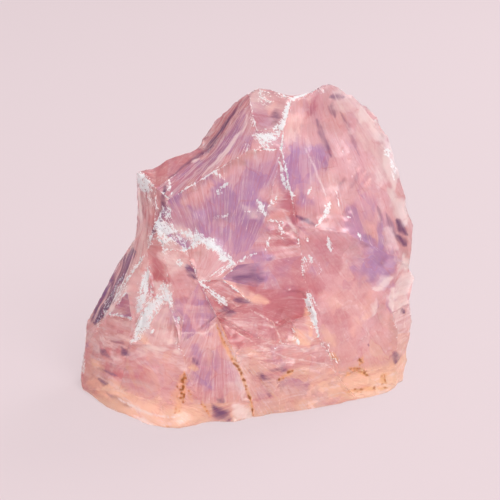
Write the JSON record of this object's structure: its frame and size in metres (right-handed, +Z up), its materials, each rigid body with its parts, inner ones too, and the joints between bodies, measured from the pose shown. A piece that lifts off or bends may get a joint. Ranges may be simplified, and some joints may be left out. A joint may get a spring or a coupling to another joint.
{
  "type": "rose quartz chunk",
  "caption": "Rough piece of translucent rose quartz with shell-like fracture faces, standing on one flat face.",
  "frame": {"origin": "middle of the bounding box, on the plane of the resting face", "axes": "+Z up from the resting face, +X along the widest extent, +Y through the thickness, away from the broad front"},
  "size_m": [0.069, 0.0416, 0.062],
  "materials": {
    "rose_quartz": "translucent, glassy on fresh faces, frosted white along bruised ridges, a few rust stains"
  },
  "bodies": {
    "root": {"rose_quartz_chunk": "rose_quartz"}
  },
  "joints": []
}
